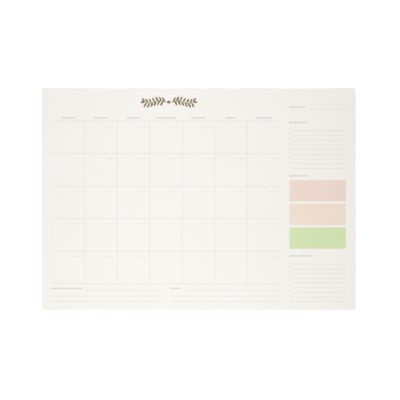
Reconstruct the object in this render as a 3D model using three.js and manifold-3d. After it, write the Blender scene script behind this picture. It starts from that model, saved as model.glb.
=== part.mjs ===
// A desk pad calendar: a pad of tear-off sheets on a grey board, held together by a film of
// padding glue along the top edge. The print on the top sheet is thin fields of colour.
// Millimetres, +Z up. X runs along the page's long side and Y towards the page's top edge.
// The origin is under the middle of the pad, on the surface that it lies on.
import * as THREE from 'three';
import { mergeVertices } from 'three/addons/utils/BufferGeometryUtils.js';
import Module from 'manifold-3d';

const wasm = await Module();
wasm.setup();

// The pad
const pageWidth = 420;
const pageHeight = 297;
const sheetCount = 50;
const sheetThickness = 0.125;
const boardThickness = 1.5;
const glueThickness = 0.5;
const inkThickness = 0.0625;

// The page's margins and the side panel
const leftMargin = 13.9;
const rightMargin = 12.4;
const bottomMargin = 11.2;
const panelWidth = 75.5;
const panelGap = 13.1;

// The heading over the calendar
const titleDrop = 10;
const titleWidth = 77.3;
const titleHeight = 16;
const titleShift = 4;
const titleToLabels = 12.2;
const labelHeight = 2;
const labelsToGrid = 3.2;
const dayLabelWidths = [16.8, 18.2, 17.8, 25.5, 18.7, 13.5, 21.2];

// The calendar grid
const weeks = 5;
const gridLine = 0.45;
const gridEdgeLine = 0.2;

// The leafy ornament of the heading
const budLength = 6.4;
const budWidth = 4.2;
const budClearance = 1;
const stemWidth = 1.5;
const stemTip = 0.7;
const stemSwing = 1.6;
const leavesPerSprig = 13;
const leafLength = 7.2;
const leafWidth = 2.7;
const leafSlant = 1.05;
const leafBulgeAt = 0.45;
const firstLeafAt = 0.6;
const endLeafLength = 5.8;
const endLeafOverlap = 0.6;
const stemSteps = 24;
const leafCurveSteps = 9;

// Writing rules
const ruleLine = 0.4;
const ruleBelowLabel = 2.8;
const labelRuleGap = 5;

// The side panel, from its top to its bottom
const firstLabelDrop = 23.8;
const firstLabelWidth = 20.6;
const firstToTasks = 18.7;
const tasksLabelWidth = 23.4;
const rulesPerList = 9;
const labelToList = 10.2;
const listIndent = 3.5;
const listTail = 1.5;
const listToLabel = 9;
const blocksLabelWidth = 26.2;
const labelToBlocks = 4.7;
const blockHeight = 28.4;
const blockGap = 3.4;
const blocksToLabel = 8.7;
const notesLabelWidth = 31.8;

// The two groups of rules under the grid
const gridToFooterLabel = 5.4;
const footerColumnGap = 12;
const footerLeftLabelWidth = 40;
const footerRightLabelWidth = 12.8;
const footerRules = 3;
const footerPitch = 7.5;

// Heights of the pad, and where the page's top left corner lies
const padThickness = sheetCount * sheetThickness;
const faceHeight = boardThickness + padThickness;
const pageLeft = -pageWidth / 2;
const pageTop = (pageHeight - glueThickness) / 2;

const paper = new THREE.MeshStandardMaterial({ color: '#f5f4ef', roughness: 0.85, metalness: 0 });
const greyBoard = new THREE.MeshStandardMaterial({ color: '#a39d91', roughness: 0.92, metalness: 0 });
const paddingGlue = new THREE.MeshStandardMaterial({ color: '#eeeeea', roughness: 0.45, metalness: 0 });
const lineInk = new THREE.MeshStandardMaterial({ color: '#dcdbd7', roughness: 0.8, metalness: 0 });
const labelInk = new THREE.MeshStandardMaterial({ color: '#b4b3af', roughness: 0.8, metalness: 0 });
const goldFoil = new THREE.MeshStandardMaterial({ color: '#ad9457', roughness: 0.3, metalness: 1 });
const pinkInk = new THREE.MeshStandardMaterial({ color: '#f0d9cd', roughness: 0.8, metalness: 0 });
const peachInk = new THREE.MeshStandardMaterial({ color: '#f1dfcc', roughness: 0.8, metalness: 0 });
const greenInk = new THREE.MeshStandardMaterial({ color: '#d5e6b7', roughness: 0.8, metalness: 0 });

const calendar = new THREE.Group();

function addMesh(group, name, geometry, material) {
  const mesh = new THREE.Mesh(geometry, material);
  mesh.name = name;
  group.add(mesh);
  return mesh;
}

// The pad's own pieces: the board, the block of sheets on it, and the glue on their top edge

function addBoard() {
  const geometry = new THREE.BoxGeometry(pageWidth, pageHeight, boardThickness);
  const board = addMesh(calendar, 'backing_board', geometry, greyBoard);
  board.position.set(0, pageTop - pageHeight / 2, boardThickness / 2);
}

function addSheets() {
  const geometry = new THREE.BoxGeometry(pageWidth, pageHeight, padThickness);
  const sheets = addMesh(calendar, 'sheet_pad', geometry, paper);
  sheets.position.set(0, pageTop - pageHeight / 2, boardThickness + padThickness / 2);
}

function addGlue() {
  const geometry = new THREE.BoxGeometry(pageWidth, glueThickness, faceHeight);
  const glue = addMesh(calendar, 'padding_glue', geometry, paddingGlue);
  glue.position.set(0, pageTop + glueThickness / 2, faceHeight / 2);
}

// The print lies in a group whose origin is the page's top left corner, on the top sheet.
// Places in it are given as across, to the right, and down, towards the page's bottom.

const print = new THREE.Group();
print.position.set(pageLeft, pageTop, faceHeight);
calendar.add(print);

function addField(name, material, across, down, width, height) {
  const geometry = new THREE.BoxGeometry(width, height, inkThickness);
  const field = addMesh(print, name, geometry, material);
  field.position.set(across + width / 2, -down - height / 2, inkThickness / 2);
}

function addRule(name, start, end, down) {
  addField(name, lineInk, start, down - ruleLine / 2, end - start, ruleLine);
}

// Solids for joining, from closed three.js geometries

const weldDistance = 1e-5;

function solidOf(geometry) {
  const bare = geometry.clone();
  bare.deleteAttribute('normal');
  bare.deleteAttribute('uv');
  const merged = mergeVertices(bare, weldDistance);
  return new wasm.Manifold(new wasm.Mesh({
    numProp: 3,
    vertProperties: new Float32Array(merged.attributes.position.array),
    triVerts: new Uint32Array(merged.index.array),
  }));
}

function geometryOf(solid) {
  const joined = solid.getMesh();
  const geometry = new THREE.BufferGeometry();
  geometry.setAttribute('position', new THREE.BufferAttribute(joined.vertProperties, 3));
  geometry.setIndex(new THREE.BufferAttribute(joined.triVerts, 1));
  geometry.computeVertexNormals();
  return geometry;
}

function joinAll(geometries) {
  const joined = geometries.map(solidOf).reduce((whole, next) => whole.add(next));
  return geometryOf(joined);
}

// The calendar grid: one net of lines, open at its right side, with a thinner line at its left

const gridWidth = pageWidth - leftMargin - panelGap - panelWidth - rightMargin;
const gridTop = titleDrop + titleHeight + titleToLabels + labelHeight + labelsToGrid;
const footerHeight = gridToFooterLabel + labelHeight / 2 + ruleBelowLabel
  + (footerRules - 1) * footerPitch + bottomMargin;
const gridHeight = pageHeight - gridTop - footerHeight;
const gridRight = leftMargin + gridWidth;
const gridBottom = gridTop + gridHeight;
const weekdays = dayLabelWidths.length;
const cellWidth = gridWidth / weekdays;
const cellHeight = gridHeight / weeks;

function pageBox(left, right, top, bottom, low, high) {
  const box = new THREE.BoxGeometry(right - left, bottom - top, high - low);
  box.translate((left + right) / 2, -(top + bottom) / 2, (low + high) / 2);
  return box;
}

// Each day's white space is cut out of one plate, and the last day's runs out past its right side
function daySpace(week, day) {
  const halfLine = gridLine / 2;
  const left = leftMargin + day * cellWidth + (day === 0 ? gridEdgeLine / 2 : halfLine);
  const right = day === weekdays - 1 ? gridRight + gridLine : leftMargin + (day + 1) * cellWidth - halfLine;
  const top = gridTop + week * cellHeight + halfLine;
  const bottom = gridTop + (week + 1) * cellHeight - halfLine;
  return pageBox(left, right, top, bottom, -inkThickness, 2 * inkThickness);
}

function addGrid() {
  const halfLine = gridLine / 2;
  const left = leftMargin - gridEdgeLine / 2;
  let net = solidOf(pageBox(left, gridRight, gridTop - halfLine, gridBottom + halfLine, 0, inkThickness));
  for (let week = 0; week < weeks; week += 1) {
    for (let day = 0; day < weekdays; day += 1) {
      net = net.subtract(solidOf(daySpace(week, day)));
    }
  }
  addMesh(print, 'calendar_grid', geometryOf(net), lineInk);
}

function addDayLabels() {
  const down = gridTop - labelsToGrid - labelHeight;
  dayLabelWidths.forEach((width, day) => {
    const middle = leftMargin + (day + 0.5) * cellWidth;
    addField(`day_label_${day + 1}`, labelInk, middle - width / 2, down, width, labelHeight);
  });
}

// The gold foil ornament: a bud between two leafy sprigs, each the mirror of the other

const titleMiddle = leftMargin + gridWidth / 2 + titleShift;
const stemStart = budLength / 2 + budClearance;
const stemLength = titleWidth / 2 - stemStart - endLeafLength + endLeafOverlap;
const leafReach = leafLength * Math.sin(leafSlant);

function stemHeight(along) {
  return stemSwing * Math.sin(2 * Math.PI * along);
}

function stemPoint(along, side) {
  return new THREE.Vector2(side * (stemStart + along * stemLength), stemHeight(along));
}

function stemGeometry(side) {
  const upper = [];
  const lower = [];
  for (let step = 0; step <= stemSteps; step += 1) {
    const along = step / stemSteps;
    const middle = stemPoint(along, side);
    const half = (stemWidth + (stemTip - stemWidth) * along) / 2;
    upper.push(new THREE.Vector2(middle.x, middle.y + half));
    lower.push(new THREE.Vector2(middle.x, middle.y - half));
  }
  const outline = new THREE.Shape([...upper, ...lower.reverse()]);
  return new THREE.ExtrudeGeometry(outline, { depth: inkThickness, bevelEnabled: false });
}

// A leaf is a pointed oval that starts on the stem and leans outwards along it
function leafGeometry(root, angle, length, width) {
  const outline = new THREE.Shape();
  outline.moveTo(0, 0);
  outline.quadraticCurveTo(length * leafBulgeAt, width, length, 0);
  outline.quadraticCurveTo(length * leafBulgeAt, -width, 0, 0);
  const leaf = new THREE.ExtrudeGeometry(outline, {
    depth: inkThickness,
    bevelEnabled: false,
    curveSegments: leafCurveSteps,
  });
  leaf.rotateZ(angle);
  leaf.translate(root.x, root.y, 0);
  return leaf;
}

function sprigLeaves(side) {
  const outwards = side > 0 ? 0 : Math.PI;
  const endRoot = stemPoint(1 - endLeafOverlap / stemLength, side);
  const leaves = [leafGeometry(endRoot, outwards, endLeafLength, leafWidth)];
  for (let leaf = 0; leaf < leavesPerSprig; leaf += 1) {
    const along = (leaf + firstLeafAt) / leavesPerSprig;
    const upwards = leaf % 2 === 0 ? 1 : -1;
    const room = titleHeight / 2 - upwards * stemHeight(along);
    const length = leafLength * Math.min(1, room / leafReach);
    const lean = side > 0 ? leafSlant : Math.PI - leafSlant;
    leaves.push(leafGeometry(stemPoint(along, side), upwards * lean, length, leafWidth));
  }
  return leaves;
}

function addTitleOrnament() {
  const middleDown = titleDrop + titleHeight / 2;
  const bud = leafGeometry(new THREE.Vector2(-budLength / 2, 0), 0, budLength, budWidth);
  const pieces = {
    title_bud: bud,
    title_sprig_left: joinAll([stemGeometry(-1), ...sprigLeaves(-1)]),
    title_sprig_right: joinAll([stemGeometry(1), ...sprigLeaves(1)]),
  };
  for (const [name, geometry] of Object.entries(pieces)) {
    addMesh(print, name, geometry, goldFoil).position.set(titleMiddle, -middleDown, 0);
  }
}

// The side panel: a label with a rule, a task list, three blocks of colour and a notes list.
// The rules of both lists share the height that the rest of the panel leaves free.

const panelLeft = pageWidth - rightMargin - panelWidth;
const panelRight = pageWidth - rightMargin;
const blockColours = { pink: pinkInk, peach: peachInk, green: greenInk };
const blockCount = Object.keys(blockColours).length;
const panelFixedHeight = firstLabelDrop + firstToTasks + 4 * labelHeight + 2 * labelToList + listToLabel
  + labelToBlocks + blockCount * blockHeight + (blockCount - 1) * blockGap + blocksToLabel;
const listPitch = (pageHeight - bottomMargin - panelFixedHeight) / (2 * (rulesPerList - 1));
const listHeight = (rulesPerList - 1) * listPitch;

const tasksLabelTop = firstLabelDrop + labelHeight + firstToTasks;
const tasksTop = tasksLabelTop + labelHeight + labelToList;
const blocksLabelTop = tasksTop + listHeight + listToLabel;
const blocksTop = blocksLabelTop + labelHeight + labelToBlocks;
const notesLabelTop = blocksTop + blockCount * blockHeight + (blockCount - 1) * blockGap + blocksToLabel;
const notesTop = notesLabelTop + labelHeight + labelToList;

function addLabelledRule(names, across, down, labelWidth, end) {
  addField(names.label, labelInk, across, down, labelWidth, labelHeight);
  const ruleDown = down + labelHeight / 2 + ruleBelowLabel;
  addRule(names.rule, across + labelWidth + labelRuleGap, end, ruleDown);
}

function addList(prefix, top) {
  for (let row = 0; row < rulesPerList; row += 1) {
    addRule(`${prefix}_${row + 1}`, panelLeft + listIndent, panelRight - listTail, top + row * listPitch);
  }
}

function addBlocks() {
  Object.entries(blockColours).forEach(([colour, ink], row) => {
    const down = blocksTop + row * (blockHeight + blockGap);
    addField(`block_${colour}`, ink, panelLeft, down, panelWidth, blockHeight);
  });
}

function addSidePanel() {
  addLabelledRule({ label: 'month_label', rule: 'month_rule' }, panelLeft, firstLabelDrop,
    firstLabelWidth, panelRight);
  addField('tasks_label', labelInk, panelLeft, tasksLabelTop, tasksLabelWidth, labelHeight);
  addList('tasks_rule', tasksTop);
  addField('blocks_label', labelInk, panelLeft, blocksLabelTop, blocksLabelWidth, labelHeight);
  addBlocks();
  addField('notes_label', labelInk, panelLeft, notesLabelTop, notesLabelWidth, labelHeight);
  addList('notes_rule', notesTop);
}

// Under the grid: two labelled groups of writing rules, side by side

function addFooterGroup(side, left, right, labelWidth) {
  const labelTop = gridBottom + gridToFooterLabel;
  addLabelledRule({ label: `footer_label_${side}`, rule: `footer_rule_${side}_1` }, left, labelTop,
    labelWidth, right);
  const firstRule = labelTop + labelHeight / 2 + ruleBelowLabel;
  for (let row = 1; row < footerRules; row += 1) {
    addRule(`footer_rule_${side}_${row + 1}`, left, right, firstRule + row * footerPitch);
  }
}

function addFooter() {
  const columnWidth = (gridWidth - footerColumnGap) / 2;
  addFooterGroup('left', leftMargin, leftMargin + columnWidth, footerLeftLabelWidth);
  addFooterGroup('right', gridRight - columnWidth, gridRight, footerRightLabelWidth);
}

addBoard();
addSheets();
addGlue();
addGrid();
addDayLabels();
addTitleOrnament();
addSidePanel();
addFooter();

export default calendar;
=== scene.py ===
"""A desk pad calendar, dressed for the camera: a pad of tear-off sheets on a grey board.

Lengths are in metres. X runs along the page's long side and Y towards its glued top edge.
"""

import math
import random

import bmesh
import bpy
from mathutils import Matrix, Vector, noise


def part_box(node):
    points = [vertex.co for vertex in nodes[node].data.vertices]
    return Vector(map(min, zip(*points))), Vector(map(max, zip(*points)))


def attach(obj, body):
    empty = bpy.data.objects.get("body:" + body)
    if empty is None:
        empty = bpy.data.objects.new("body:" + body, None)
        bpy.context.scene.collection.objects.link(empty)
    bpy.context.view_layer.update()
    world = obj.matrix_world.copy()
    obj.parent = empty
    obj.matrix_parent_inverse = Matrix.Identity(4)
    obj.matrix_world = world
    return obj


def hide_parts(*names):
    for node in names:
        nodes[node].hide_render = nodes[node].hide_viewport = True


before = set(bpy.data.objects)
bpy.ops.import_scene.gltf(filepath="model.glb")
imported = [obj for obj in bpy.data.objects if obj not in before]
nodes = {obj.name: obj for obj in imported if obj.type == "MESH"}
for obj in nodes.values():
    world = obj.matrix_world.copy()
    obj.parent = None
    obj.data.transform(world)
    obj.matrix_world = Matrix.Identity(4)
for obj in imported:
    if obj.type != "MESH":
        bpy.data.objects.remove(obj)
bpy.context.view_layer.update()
page_low, page_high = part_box("sheet_pad")
page_height = page_high.z
bpy.ops.object.select_all(action="DESELECT")


# The view and the light. The pad lies on a white table that fades into a white room and hides
# nothing from below. The camera looks straight down through a long lens, and two soft lamps stand
# before and behind the pad, a little to its left, so that its right edge gets the least light.

view_width = 0.53656
view_middle = Vector((0.00212, -0.0011))
camera_distance = 1.5
sensor_width = 36.0
lamp_side = 0.4
lamp_x = -0.048
lamp_height = 0.85
front_lamp_y = -0.42
front_lamp_power = 4.86
back_lamp_y = 0.52
back_lamp_power = 3.96
white = (1.0, 1.0, 1.0, 1.0)
room_tone = (1.0, 0.995, 0.985, 1.0)
room_strength = 0.2
strength_from_below = 0.8
horizon_blur = 0.02
table_side = 8.0
table_drop = 0.00005
table_tone = (0.8, 0.8, 0.8, 1.0)
table_lift = (0.5, 0.86)
table_lift_reach = (0.5, 1.7)

bpy.ops.object.camera_add(location=(view_middle.x, view_middle.y, page_height + camera_distance))
camera = bpy.context.object
camera.name = "camera"
camera.data.sensor_fit = "HORIZONTAL"
camera.data.sensor_width = sensor_width
camera.data.lens = sensor_width * camera_distance / view_width
bpy.context.scene.camera = camera
bpy.context.scene.view_settings.view_transform = "Standard"


def add_softbox(name, lamp_y, power):
    """A square soft lamp that faces the middle of the pad."""
    bpy.ops.object.light_add(type="AREA", location=(lamp_x, lamp_y, lamp_height))
    lamp = bpy.context.object
    lamp.name = name
    lamp.rotation_euler = (-math.atan2(lamp_y, lamp_height), 0.0, 0.0)
    lamp.data.shape = "SQUARE"
    lamp.data.size = lamp_side
    lamp.data.energy = power


add_softbox("front_softbox", front_lamp_y, front_lamp_power)
add_softbox("back_softbox", back_lamp_y, back_lamp_power)


def add_node(tree, kind, **inputs):
    """A new node whose named input sockets have these values."""
    node = tree.nodes.new(kind)
    for name, value in inputs.items():
        node.inputs[name.replace("_", " ")].default_value = value
    return node


def combine(tree, operation, first, second):
    """One number from two, such as the larger one or their product."""
    node = tree.nodes.new("ShaderNodeMath")
    node.operation = operation
    tree.links.new(first, node.inputs[0])
    tree.links.new(second, node.inputs[1])
    return node.outputs[0]


def ramp(tree, value, limits, ends=(0.0, 1.0)):
    """Maps the range between two limits onto the range between two ends, and stops there."""
    node = tree.nodes.new("ShaderNodeMapRange")
    tree.links.new(value, node.inputs[0])
    for socket, number in zip(node.inputs[1:5], (*limits, *ends)):
        socket.default_value = number
    return node.outputs[0]


def seen_directly(tree):
    """1 where a camera, glossy or transmission ray looks, and 0 where light is gathered."""
    path = tree.nodes.new("ShaderNodeLightPath")
    seen = combine(tree, "MAXIMUM", path.outputs["Is Camera Ray"], path.outputs["Is Glossy Ray"])
    return combine(tree, "MAXIMUM", seen, path.outputs["Is Transmission Ray"])


def mix_shaders(tree, factor, first, second):
    """A shader that runs from the first to the second."""
    mix = tree.nodes.new("ShaderNodeMixShader")
    for socket, output in zip(mix.inputs, (factor, first, second)):
        tree.links.new(output, socket)
    return mix.outputs[0]


def white_room():
    """Looks white, and lights the pad softly, with more light from below than from above."""
    world = bpy.data.worlds.new("white_room")
    world.use_nodes = True
    tree = world.node_tree
    tree.nodes.clear()
    walls = add_node(tree, "ShaderNodeBackground", Color=room_tone)
    way = tree.nodes.new("ShaderNodeTexCoord")
    parts = tree.nodes.new("ShaderNodeSeparateXYZ")
    tree.links.new(way.outputs["Generated"], parts.inputs[0])
    horizon = (-horizon_blur, horizon_blur)
    strength = ramp(tree, parts.outputs["Z"], horizon, (strength_from_below, room_strength))
    tree.links.new(strength, walls.inputs["Strength"])
    backdrop = add_node(tree, "ShaderNodeBackground", Color=white, Strength=1.0)
    shader = mix_shaders(tree, seen_directly(tree), walls.outputs[0], backdrop.outputs[0])
    output = tree.nodes.new("ShaderNodeOutputWorld")
    tree.links.new(shader, output.inputs["Surface"])
    return world


def white_table_material():
    """Matt white, lifted to full white where it is looked at, and clear from below."""
    material = bpy.data.materials.new("white_table")
    material.use_nodes = True
    tree = material.node_tree
    tree.nodes.clear()
    matt = add_node(tree, "ShaderNodeBsdfDiffuse", Color=table_tone)
    glow = add_node(tree, "ShaderNodeEmission", Color=white)
    place = tree.nodes.new("ShaderNodeTexCoord")
    reach = tree.nodes.new("ShaderNodeVectorMath")
    reach.operation = "LENGTH"
    tree.links.new(place.outputs["Object"], reach.inputs[0])
    lift = ramp(tree, reach.outputs["Value"], table_lift_reach, table_lift)
    tree.links.new(combine(tree, "MULTIPLY", seen_directly(tree), lift), glow.inputs["Strength"])
    lit = tree.nodes.new("ShaderNodeAddShader")
    tree.links.new(matt.outputs[0], lit.inputs[0])
    tree.links.new(glow.outputs[0], lit.inputs[1])
    side = tree.nodes.new("ShaderNodeNewGeometry")
    path = tree.nodes.new("ShaderNodeLightPath")
    below = combine(tree, "MAXIMUM", side.outputs["Backfacing"], path.outputs["Transparent Depth"])
    clear = tree.nodes.new("ShaderNodeBsdfTransparent")
    shader = mix_shaders(tree, below, lit.outputs[0], clear.outputs[0])
    output = tree.nodes.new("ShaderNodeOutputMaterial")
    tree.links.new(shader, output.inputs["Surface"])
    return material


bpy.context.scene.world = white_room()
bpy.ops.mesh.primitive_plane_add(size=table_side, location=(0.0, 0.0, -table_drop))
table = bpy.context.object
table.name = "table_top"
table.data.materials.append(white_table_material())


# The backing board: one sheet of recycled grey board, guillotined together with the pad.
# It is dull grey-brown with darker and paler fibre flecks, and its cut edges are a little soft.

board_tone = (0.33, 0.305, 0.265, 1.0)
board_fibre_tone = (0.37, 0.345, 0.3, 1.0)
board_fibres = {"Cloud scale": 25.0, "Fibre scale": 700.0, "Grain scale": 2600.0, "Fibre share": 0.6}
fleck_detail = 2.0
dark_fleck_tone = (0.13, 0.115, 0.095, 1.0)
dark_fleck_scale = 520.0
dark_fleck_stretch = (1.0, 1.6, 1.0)
dark_fleck_limits = (0.66, 0.74)
pale_fleck_tone = (0.52, 0.5, 0.45, 1.0)
pale_fleck_scale = 380.0
pale_fleck_stretch = (1.7, 1.0, 1.0)
pale_fleck_limits = (0.68, 0.76)
board_roughness = (0.86, 0.98)
board_grain_depth = 0.00008
board_grain_strength = 0.4
board_specular = 0.25
noise_details = {"Cloud scale": 3.0, "Fibre scale": 4.0, "Grain scale": 3.0}
cloud_limits = (0.3, 0.7)
fibre_limits = (0.35, 0.65)
grain_limits = (0.3, 0.7)
board_corner = 0.0006
board_corner_steps = 3
board_edge_cuts = 90
board_layers = ((0.0, 0.00016), (0.08, 0.00004), (0.3, 0.0), (0.7, 0.0), (0.92, 0.00004), (1.0, 0.00016))
board_cut_depth = 0.00014
board_cut_scale = 230.0
board_cut_stretch = 4.0
rim_angle = 35.0


def start_piece(name):
    """Opens the primitive that was just added for editing, all of it selected."""
    piece = bpy.context.object
    piece.name = name
    bpy.ops.object.mode_set(mode="EDIT")
    bpy.ops.mesh.select_all(action="SELECT")
    return piece


def cut_outline(low, high, cuts):
    """Turns the unit plane being edited into one face at a box's foot, its rim in short edges."""
    bpy.ops.transform.resize(value=(high.x - low.x, high.y - low.y, 1.0))
    bpy.ops.transform.translate(value=((low.x + high.x) / 2, (low.y + high.y) / 2, low.z))
    bpy.ops.mesh.delete(type="ONLY_FACE")
    bpy.ops.mesh.select_all(action="SELECT")
    bpy.ops.mesh.subdivide(number_cuts=cuts)
    bpy.ops.mesh.edge_face_add()


def select_where(kind, wanted):
    """Selects the points or the edges being edited that pass a test, and nothing else."""
    bpy.ops.mesh.select_mode(type=kind)
    bpy.ops.mesh.select_all(action="DESELECT")
    shape = bmesh.from_edit_mesh(bpy.context.object.data)
    for element in shape.verts if kind == "VERT" else shape.edges:
        element.select_set(wanted(element))
    shape.select_flush_mode()
    bmesh.update_edit_mesh(bpy.context.object.data)


def face_outwards():
    """Makes every face being edited point outwards, and leaves edit mode."""
    bpy.ops.mesh.select_all(action="SELECT")
    bpy.ops.mesh.normals_make_consistent(inside=False)
    bpy.ops.object.mode_set(mode="OBJECT")


def unit_noise(place):
    """Smooth noise from 0 to 1."""
    return 0.5 + 0.5 * noise.noise(place)


def smooth_but_rims(piece):
    """Smooth shading that keeps a piece's rims sharp."""
    bpy.ops.object.select_all(action="DESELECT")
    piece.select_set(True)
    bpy.context.view_layer.objects.active = piece
    bpy.ops.object.shade_smooth_by_angle(angle=math.radians(rim_angle))


def finish_piece(piece, material, slot, *replaced):
    """Gives a finished piece its material, hangs it on the root body and hides the parts it stands in
    for.
    """
    piece.data.materials.clear()
    piece.data.materials.append(material)
    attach(piece, "root")
    if replaced:
        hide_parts(*replaced)
    bpy.ops.object.select_all(action="DESELECT")


def new_material(name):
    """A material with its Principled shader, ready for more nodes."""
    material = bpy.data.materials.new(name)
    material.use_nodes = True
    return material, material.node_tree, material.node_tree.nodes["Principled BSDF"]


def mix_colours(tree, factor, first, second):
    """A colour that runs from the first to the second; each is a value or an output socket."""
    mix = tree.nodes.new("ShaderNodeMix")
    mix.data_type = "RGBA"
    tree.links.new(factor, mix.inputs[0])
    for socket, colour in ((mix.inputs[6], first), (mix.inputs[7], second)):
        if isinstance(colour, bpy.types.NodeSocket):
            tree.links.new(colour, socket)
        else:
            socket.default_value = colour
    return mix.outputs[2]


def place_noise(tree, scale, detail, stretch=(1.0, 1.0, 1.0)):
    """Noise on the object's own coordinates, with features about 1/scale metres across."""
    place = tree.nodes.new("ShaderNodeTexCoord")
    mapping = add_node(tree, "ShaderNodeMapping", Scale=stretch)
    texture = add_node(tree, "ShaderNodeTexNoise", Scale=scale, Detail=detail)
    tree.links.new(place.outputs["Object"], mapping.inputs[0])
    tree.links.new(mapping.outputs[0], texture.inputs["Vector"])
    return texture.outputs[0]


def add_bump(tree, height, depth, strength):
    """A bump whose height is worked out by other nodes."""
    bump = add_node(tree, "ShaderNodeBump", Distance=depth, Strength=strength)
    tree.links.new(height, bump.inputs["Height"])
    return bump.outputs[0]


def fibre_group():
    """Pressed fibres: a cloudy tone, short fibres and a fine felt grain, for paper, ink and board."""
    group = bpy.data.node_groups.new("pressed_fibres", "ShaderNodeTree")
    for name in ("Tone", "Fibre tone"):
        group.interface.new_socket(name=name, in_out="INPUT", socket_type="NodeSocketColor")
    for name in (*noise_details, "Fibre share"):
        group.interface.new_socket(name=name, in_out="INPUT", socket_type="NodeSocketFloat")
    group.interface.new_socket(name="Colour", in_out="OUTPUT", socket_type="NodeSocketColor")
    group.interface.new_socket(name="Grain", in_out="OUTPUT", socket_type="NodeSocketFloat")
    inside = group.nodes.new("NodeGroupInput")
    outside = group.nodes.new("NodeGroupOutput")
    place = group.nodes.new("ShaderNodeTexCoord")
    textures = {}
    for name, detail in noise_details.items():
        texture = add_node(group, "ShaderNodeTexNoise", Detail=detail)
        group.links.new(place.outputs["Object"], texture.inputs["Vector"])
        group.links.new(inside.outputs[name], texture.inputs["Scale"])
        textures[name] = texture.outputs[0]
    both = group.nodes.new("ShaderNodeMix")
    group.links.new(inside.outputs["Fibre share"], both.inputs[0])
    group.links.new(ramp(group, textures["Cloud scale"], cloud_limits), both.inputs[2])
    group.links.new(ramp(group, textures["Fibre scale"], fibre_limits), both.inputs[3])
    colour = mix_colours(group, both.outputs[0], inside.outputs["Tone"], inside.outputs["Fibre tone"])
    group.links.new(colour, outside.inputs["Colour"])
    group.links.new(textures["Grain scale"], outside.inputs["Grain"])
    return group


pressed_fibres = fibre_group()


def add_fibres(tree, tone, fibre_tone, numbers):
    """The fibre group in one material, with its own tones, scales and share of fibres."""
    node = tree.nodes.new("ShaderNodeGroup")
    node.node_tree = pressed_fibres
    node.inputs["Tone"].default_value = tone
    node.inputs["Fibre tone"].default_value = fibre_tone
    for name, number in numbers.items():
        node.inputs[name].default_value = number
    return node


def add_grain(tree, shader, fibres, roughness, depth, strength):
    """Varies a shader's roughness and surface with the grain of its fibres."""
    grain = fibres.outputs["Grain"]
    tree.links.new(ramp(tree, grain, grain_limits, roughness), shader.inputs["Roughness"])
    tree.links.new(add_bump(tree, grain, depth, strength), shader.inputs["Normal"])


def grey_board_material():
    material, tree, shader = new_material("recycled_grey_board")
    fibres = add_fibres(tree, board_tone, board_fibre_tone, board_fibres)
    dark_noise = place_noise(tree, dark_fleck_scale, fleck_detail, dark_fleck_stretch)
    pale_noise = place_noise(tree, pale_fleck_scale, fleck_detail, pale_fleck_stretch)
    dark_flecks = ramp(tree, dark_noise, dark_fleck_limits)
    pale_flecks = ramp(tree, pale_noise, pale_fleck_limits)
    colour = mix_colours(tree, dark_flecks, fibres.outputs["Colour"], dark_fleck_tone)
    colour = mix_colours(tree, pale_flecks, colour, pale_fleck_tone)
    tree.links.new(colour, shader.inputs["Base Color"])
    add_grain(tree, shader, fibres, board_roughness, board_grain_depth, board_grain_strength)
    shader.inputs["Specular IOR Level"].default_value = board_specular
    return material


board_low, board_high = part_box("backing_board")
board_middle = (board_low + board_high) / 2
board_thickness = board_high.z - board_low.z
half_length = (board_high.x - board_low.x) / 2
half_depth = (board_high.y - board_low.y) / 2


def at_corner(point):
    """Whether a point is at one of the board's four corners."""
    side = point.co - board_middle
    beside = abs(abs(side.x) - half_length) < board_corner / 2
    return beside and abs(abs(side.y) - half_depth) < board_corner / 2


bpy.ops.mesh.primitive_plane_add(size=1.0, location=(0.0, 0.0, 0.0))
board = start_piece("grey_board")
cut_outline(board_low, board_high, board_edge_cuts)
select_where("VERT", at_corner)
bpy.ops.mesh.bevel(offset=board_corner, segments=board_corner_steps, affect="VERTICES")
bpy.ops.mesh.select_mode(type="FACE")
bpy.ops.mesh.select_all(action="SELECT")
for (share_below, _), (share, _) in zip(board_layers, board_layers[1:]):
    rise = (share - share_below) * board_thickness
    bpy.ops.mesh.extrude_region_move(TRANSFORM_OT_translate={"value": (0.0, 0.0, rise)})
face_outwards()
for vertex in board.data.vertices:
    share = (vertex.co.z - board_low.z) / board_thickness
    rounding = min(board_layers, key=lambda layer: abs(layer[0] - share))[1]
    place = Vector((vertex.co.x, vertex.co.y, vertex.co.z * board_cut_stretch))
    inset = rounding + board_cut_depth * max(0.0, unit_noise(place * board_cut_scale))
    side = vertex.co - board_middle
    if abs(side.x) > half_length - board_corner:
        vertex.co.x -= math.copysign(inset, side.x)
    if abs(side.y) > half_depth - board_corner:
        vertex.co.y -= math.copysign(inset, side.y)
smooth_but_rims(board)
finish_piece(board, grey_board_material(), "grey_board", "backing_board")


# The tear-off sheets: fifty alike, of off-white uncoated paper, jogged square and cut together.
# They are cut plates laid on each other, each a hair out of line, so that the pad's sides show
# its leaves. The top one carries the print.

sheet_count = 50
leaf_share = 0.94
cuts_per_side = 35
level_slack = 0.01
jog_seed = 7
leaf_shift = 0.00006
leaf_drift = 0.00022
leaf_drift_scale = 900.0
drift_start = (0.3, 0.7)
leaf_ripple = 0.00005
ripple_scale = 26.0
ripple_step = 3.7
paper_tone = (0.93, 0.918, 0.883, 1.0)
paper_fibre_tone = (0.915, 0.9, 0.86, 1.0)
paper_fibres = {"Cloud scale": 14.0, "Fibre scale": 1100.0, "Grain scale": 5200.0, "Fibre share": 0.35}
paper_warm_tone = (0.93, 0.914, 0.852, 1.0)
warm_reach = (0.09, 0.2)
leaf_gap_shade_tone = (0.8, 0.785, 0.74, 1.0)
strata_scale = 14.0
strata_detail = 2.0
strata_stretch = (1.0, 1.0, 420.0)
strata_limits = (0.4, 0.66)
strata_drop = 0.0002
paper_roughness = (0.8, 0.94)
paper_grain_depth = 0.00003
paper_grain_strength = 0.5
paper_specular = 0.3


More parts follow.
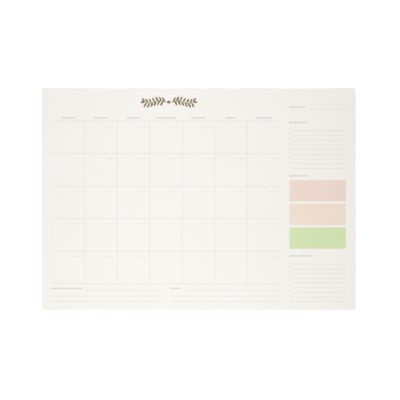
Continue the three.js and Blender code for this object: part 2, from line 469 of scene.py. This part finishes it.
def object_place(tree):
    """The X, Y and Z of a point on the object, as three sockets."""
    place = tree.nodes.new("ShaderNodeTexCoord")
    parts = tree.nodes.new("ShaderNodeSeparateXYZ")
    tree.links.new(place.outputs["Object"], parts.inputs[0])
    return tuple(parts.outputs)


def sheet_paper_material():
    material, tree, shader = new_material("uncoated_paper")
    fibres = add_fibres(tree, paper_tone, paper_fibre_tone, paper_fibres)
    across, _, up = object_place(tree)
    warm = ramp(tree, across, warm_reach)
    colour = mix_colours(tree, warm, fibres.outputs["Colour"], paper_warm_tone)
    # Darker bands along the pad's sides, below the top leaf: painted shade of the thin gaps between the
    # leaves, of random strength from band to band.
    strata = ramp(tree, place_noise(tree, strata_scale, strata_detail, strata_stretch), strata_limits)
    below_print = ramp(tree, up, (page_height - strata_drop, page_height - strata_drop / 2), (1.0, 0.0))
    edges = combine(tree, "MULTIPLY", strata, below_print)
    colour = mix_colours(tree, edges, colour, leaf_gap_shade_tone)
    tree.links.new(colour, shader.inputs["Base Color"])
    add_grain(tree, shader, fibres, paper_roughness, paper_grain_depth, paper_grain_strength)
    shader.inputs["Specular IOR Level"].default_value = paper_specular
    return material


leaf_pitch = (page_high.z - page_low.z) / sheet_count
leaf_thickness = leaf_pitch * leaf_share
first_leaf_low = Vector((page_low.x, page_low.y, page_low.z + leaf_pitch - leaf_thickness))
bpy.ops.mesh.primitive_plane_add(size=1.0, location=(0.0, 0.0, 0.0))
sheets = start_piece("tear_off_sheets")
cut_outline(first_leaf_low, page_high, cuts_per_side)
bpy.ops.mesh.extrude_region_move(TRANSFORM_OT_translate={"value": (0.0, 0.0, leaf_thickness)})
face_outwards()
stack = sheets.modifiers.new("stack", "ARRAY")
stack.use_relative_offset = False
stack.use_constant_offset = True
stack.constant_offset_displace = (0.0, 0.0, leaf_pitch)
stack.count = sheet_count
bpy.ops.object.modifier_apply(modifier=stack.name)

# The top leaf stays square for its print, and no other one reaches into the glue behind it.
# Noise vectors differ from run to run unless their seed is set.
noise.seed_set(jog_seed)
jog = random.Random(jog_seed)
shifts = [Vector((jog.gauss(0, 1), jog.gauss(0, 1), 0.0)) * leaf_shift for _ in range(sheet_count)]
for vertex in sheets.data.vertices:
    height = vertex.co.z - page_low.z
    leaf = min(sheet_count - 1, int(height / leaf_pitch - level_slack))
    if leaf == sheet_count - 1:
        continue
    drift = noise.noise_vector(Vector((*drift_start, height * leaf_drift_scale)))
    along = Vector((vertex.co.x * ripple_scale, vertex.co.y * ripple_scale, leaf * ripple_step))
    ripple = noise.noise_vector(along)
    offset = shifts[leaf] + drift * leaf_drift + ripple * leaf_ripple
    vertex.co.x += offset.x
    vertex.co.y += min(0.0, offset.y) if vertex.co.y > 0 else offset.y
finish_piece(sheets, sheet_paper_material(), "sheet_paper", "sheet_pad")


# The padding glue: a film of flexible white glue brushed over the sheets' and the board's
# top edge and dried. It holds the pad together and peels leaf by leaf as a sheet is torn off.

glue_tone = (0.86, 0.86, 0.83, 1.0)
glue_thin_tone = (0.78, 0.77, 0.73, 1.0)
glue_tone_limits = (0.35, 0.65)
glue_roughness_limits = (0.3, 0.7)
glue_roughness = (0.32, 0.55)
brush_scale = 240.0
brush_detail = 4.0
brush_stretch = (1.0, 1.0, 6.0)
brush_depth = 0.0002
brush_strength = 0.5
glue_cuts_along = 170
glue_cuts_up = 11
glue_thin = 0.00013
rim_thinning = 0.8
glue_end_gap = 0.0009
glue_top_gap = 0.0003
stroke_scale = Vector((42.0, 1.0, 900.0))
ragged_scale = Vector((190.0, 1.0, 160.0))
straight_share = 0.99


def padding_glue_material():
    material, tree, shader = new_material("dried_padding_glue")
    strokes = place_noise(tree, brush_scale, brush_detail, brush_stretch)
    colour = mix_colours(tree, ramp(tree, strokes, glue_tone_limits), glue_tone, glue_thin_tone)
    tree.links.new(colour, shader.inputs["Base Color"])
    roughness = ramp(tree, strokes, glue_roughness_limits, glue_roughness)
    tree.links.new(roughness, shader.inputs["Roughness"])
    tree.links.new(add_bump(tree, strokes, brush_depth, brush_strength), shader.inputs["Normal"])
    return material


def runs_along(edge, axis):
    """Whether an edge runs along one axis."""
    run = edge.verts[1].co - edge.verts[0].co
    return abs(run[axis]) > straight_share * run.length


glue_low, glue_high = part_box("padding_glue")
glue_size = glue_high - glue_low
at_rim = glue_size.z / 100
bpy.ops.mesh.primitive_cube_add(size=1.0, location=(0.0, 0.0, 0.0))
glue = start_piece("glue_film")
bpy.ops.transform.resize(value=tuple(glue_size))
bpy.ops.transform.translate(value=tuple((glue_low + glue_high) / 2))
select_where("EDGE", lambda edge: runs_along(edge, 0))
bpy.ops.mesh.subdivide(number_cuts=glue_cuts_along)
select_where("EDGE", lambda edge: runs_along(edge, 2))
bpy.ops.mesh.subdivide(number_cuts=glue_cuts_up)
face_outwards()
for vertex in glue.data.vertices:
    place = vertex.co.copy()
    stroke = unit_noise(place * stroke_scale)
    ragged = unit_noise(place * ragged_scale)
    from_end = min(place.x - glue_low.x, glue_high.x - place.x)
    from_top = glue_high.z - place.z
    if from_end < at_rim:
        vertex.co.x -= math.copysign(glue_end_gap * ragged, place.x)
    if from_top < at_rim:
        vertex.co.z -= glue_top_gap * ragged
    if place.y > (glue_low.y + glue_high.y) / 2:
        rim = min(1.0, min(from_end, from_top, place.z - glue_low.z) / (2 * glue_thin))
        vertex.co.y -= glue_thin * stroke + glue_thin * rim_thinning * (1.0 - rim)
smooth_but_rims(glue)
finish_piece(glue, padding_glue_material(), "padding_glue", "padding_glue")


# The printed lines: the month grid and the writing rules, in pale grey ink on the top sheet.
# Ink takes the paper's grain, so it shares the paper's fibres under its own tone.

line_tone = (0.65, 0.64, 0.62, 1.0)
line_worn_tone = (0.71, 0.7, 0.675, 1.0)
left_line_tone = (0.79, 0.78, 0.75, 1.0)
left_line_width = 0.0002
left_line_fade = 0.0001
ink_fibres = {**paper_fibres, "Cloud scale": 30.0, "Fibre share": 0.7}
ink_roughness = (0.7, 0.86)
ink_specular = 0.3


def printed_ink(name, tone, worn_tone):
    """Flat ink that has sunk into the paper's grain, worn here and there."""
    material, tree, shader = new_material(name)
    fibres = add_fibres(tree, tone, worn_tone, ink_fibres)
    tree.links.new(fibres.outputs["Colour"], shader.inputs["Base Color"])
    add_grain(tree, shader, fibres, ink_roughness, paper_grain_depth, paper_grain_strength)
    shader.inputs["Specular IOR Level"].default_value = ink_specular
    return material


def dress_node(name, material):
    """Puts a material on a solid of the frame that keeps its own shape."""
    nodes[name].data.materials.clear()
    nodes[name].data.materials.append(material)


def fade_left_line(material, left):
    """Gives the grid's ink a fainter tone on its leftmost line."""
    tree = material.node_tree
    shader = tree.nodes["Principled BSDF"]
    line_colour = shader.inputs["Base Color"].links[0].from_socket
    across = object_place(tree)[0]
    line_right = left + left_line_width
    inside = ramp(tree, across, (line_right, line_right + left_line_fade))
    colour = mix_colours(tree, inside, left_line_tone, line_colour)
    tree.links.new(colour, shader.inputs["Base Color"])


line_ink = printed_ink("pale_grey_ink", line_tone, line_worn_tone)
for name in nodes:
    if "_rule" in name:
        dress_node(name, line_ink)
grid_low, grid_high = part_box("calendar_grid")
grid_ink = printed_ink("pale_grid_ink", line_tone, line_worn_tone)
fade_left_line(grid_ink, grid_low.x)
dress_node("calendar_grid", grid_ink)


# The blocks of colour in the side panel: three flat tints of ink, one under the other, each as
# wide as the panel. A tint is a little paler where the paper's fibres took less of it.

block_tones = {
    "pink": ((0.86, 0.69, 0.6, 1.0), (0.88, 0.73, 0.65, 1.0)),
    "peach": ((0.87, 0.74, 0.62, 1.0), (0.89, 0.77, 0.67, 1.0)),
    "green": ((0.645, 0.775, 0.435, 1.0), (0.68, 0.8, 0.49, 1.0)),
}
for colour, (tone, worn_tone) in block_tones.items():
    dress_node(f"block_{colour}", printed_ink(f"{colour}_ink", tone, worn_tone))


# The headings: rows of small blocks printed in a darker grey, in groups of a few. Each row fills
# its heading's box, and a day's heading is one group.

mark_tone = (0.5, 0.49, 0.47, 1.0)
mark_worn_tone = (0.57, 0.56, 0.535, 1.0)
mark_width = 0.00095
narrowest_mark = 0.7
widest_mark = 1.25
mark_gap = 0.00085
mark_corner = 0.00018
mark_corner_steps = 2
word_gap = 0.0011
shortest_word = 4
longest_word = 7
spacing_seed = 11
label_ink = printed_ink("grey_ink", mark_tone, mark_worn_tone)
ink_low, ink_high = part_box("day_label_1")
ink_thickness = ink_high.z - ink_low.z


def printed_block(name, width, height, corner):
    """A flat block of ink, its middle at the origin, with rounded corners."""
    bpy.ops.mesh.primitive_plane_add(size=1.0, location=(0.0, 0.0, 0.0))
    block = start_piece(name)
    bpy.ops.transform.resize(value=(width, height, 1.0))
    bpy.ops.mesh.bevel(offset=corner, segments=mark_corner_steps, affect="VERTICES")
    bpy.ops.mesh.select_all(action="SELECT")
    bpy.ops.mesh.extrude_region_move(TRANSFORM_OT_translate={"value": (0.0, 0.0, ink_thickness)})
    face_outwards()
    return block


def copy_at(piece, place, stretch):
    """A copy with its own mesh, stretched along X and moved to a place."""
    copy = piece.copy()
    copy.data = piece.data.copy()
    copy.data.transform(Matrix.Translation(place) @ Matrix.Diagonal((stretch, 1.0, 1.0, 1.0)))
    bpy.context.scene.collection.objects.link(copy)
    return copy


def join_pieces(pieces, name):
    """Joins copies into one piece."""
    bpy.ops.object.select_all(action="DESELECT")
    for piece in pieces:
        piece.select_set(True)
    bpy.context.view_layer.objects.active = pieces[0]
    bpy.ops.object.join()
    pieces[0].name = name
    return pieces[0]


spacing = random.Random(spacing_seed)


def heading_marks(node):
    """A row of blocks of uneven width that fills a heading's box."""
    low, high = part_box(node)
    block = printed_block("block", mark_width, high.y - low.y, mark_corner)
    marks = []
    reach = low.x
    word_end = spacing.randint(shortest_word, longest_word)
    while reach < high.x - mark_width / 2:
        width = min(mark_width * spacing.uniform(narrowest_mark, widest_mark), high.x - reach)
        place = Vector((reach + width / 2, (low.y + high.y) / 2, low.z))
        marks.append(copy_at(block, place, width / mark_width))
        reach += width + mark_gap
        long_rest = high.x - reach > shortest_word * (mark_width + mark_gap)
        if len(marks) == word_end and long_rest and "day" not in node:
            reach += word_gap
            word_end += spacing.randint(shortest_word, longest_word)
    bpy.data.objects.remove(block)
    finish_piece(join_pieces(marks, f"{node}_marks"), label_ink, "label_ink", node)


for name in sorted(nodes):
    if "_label" in name:
        heading_marks(name)


# The date rules: a short line near the top right corner of each day, to write the date on. They
# are printed in the same pale ink as the grid.

date_rule_width = 0.01
date_rule_line = 0.0004
date_rule_from_right = 0.0036
date_rule_drop = 0.007
weeks = 5
days = 7
grid_line = 0.00045
cell_height = (grid_high.y - grid_low.y - grid_line) / weeks
cell_width = (grid_high.x - grid_low.x) / days


def repeat(piece, count, step):
    """Copies a piece along a line with an array modifier, and applies it."""
    bpy.ops.object.select_all(action="DESELECT")
    piece.select_set(True)
    bpy.context.view_layer.objects.active = piece
    row = piece.modifiers.new("row", "ARRAY")
    row.use_relative_offset = False
    row.use_constant_offset = True
    row.constant_offset_displace = step
    row.count = count
    bpy.ops.object.modifier_apply(modifier=row.name)


date_rules = printed_block("date_rules", date_rule_width, date_rule_line, date_rule_line / 4)
first_right = grid_low.x + cell_width - date_rule_from_right
first_down = grid_high.y - grid_line / 2 - date_rule_drop
date_rules.data.transform(Matrix.Translation((first_right - date_rule_width / 2, first_down, ink_low.z)))
repeat(date_rules, days, (cell_width, 0.0, 0.0))
repeat(date_rules, weeks, (0.0, -cell_height, 0.0))
finish_piece(date_rules, line_ink, "line_ink")


# The row marks: a small open square at the start of each row of both lists, printed in the same
# pale ink as the rows.

box_side = 0.0024
box_line = 0.00032
box_lift = 0.0006
row_count = 9


def row_marks(name, first_node, last_node, label_node):
    """A column of open squares, one on each rule of a list, in line with its heading."""
    first_low, first_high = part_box(first_node)
    last_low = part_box(last_node)[0]
    panel_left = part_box(label_node)[0].x
    middle = (panel_left + box_side / 2, first_high.y + box_lift + box_side / 2, first_low.z)
    bpy.ops.mesh.primitive_plane_add(size=1.0, location=(0.0, 0.0, 0.0))
    mark = start_piece(name)
    bpy.ops.transform.resize(value=(box_side, box_side, 1.0))
    bpy.ops.mesh.inset(thickness=box_line)
    bpy.ops.mesh.delete(type="FACE")
    bpy.ops.mesh.select_all(action="SELECT")
    bpy.ops.mesh.extrude_region_move(TRANSFORM_OT_translate={"value": (0.0, 0.0, ink_thickness)})
    bpy.ops.mesh.select_all(action="SELECT")
    bpy.ops.transform.translate(value=middle)
    face_outwards()
    repeat(mark, row_count, (0.0, (last_low.y - first_low.y) / (row_count - 1), 0.0))
    finish_piece(mark, line_ink, "line_ink")


row_marks("task_boxes", "tasks_rule_1", "tasks_rule_9", "tasks_label")
row_marks("note_boxes", "notes_rule_1", "notes_rule_9", "notes_label")


# The ornament over the calendar: a bud between two leafy sprigs, hot-stamped in gold foil. The
# foil is thin metal, pressed a little unevenly into the paper's grain.

foil_tone = (0.125, 0.1, 0.052, 1.0)
foil_sheen_tone = (0.2, 0.16, 0.085, 1.0)
foil_sheen_limits = (0.4, 0.62)
foil_roughness_limits = (0.35, 0.65)
foil_roughness = (0.2, 0.3)
crinkle_scale = 420.0
crinkle_detail = 3.0
crinkle_depth = 0.0002
crinkle_strength = 0.4


def gold_foil_material():
    material, tree, shader = new_material("gold_foil")
    crinkle = place_noise(tree, crinkle_scale, crinkle_detail)
    # Brighter patches where the crinkles rise: painted sheen over the foil's dark gold tone.
    colour = mix_colours(tree, ramp(tree, crinkle, foil_sheen_limits), foil_tone, foil_sheen_tone)
    tree.links.new(colour, shader.inputs["Base Color"])
    roughness = ramp(tree, crinkle, foil_roughness_limits, foil_roughness)
    tree.links.new(roughness, shader.inputs["Roughness"])
    tree.links.new(add_bump(tree, crinkle, crinkle_depth, crinkle_strength), shader.inputs["Normal"])
    shader.inputs["Metallic"].default_value = 1.0
    return material


gold_foil = gold_foil_material()
for name in nodes:
    if name.startswith("title_"):
        dress_node(name, gold_foil)
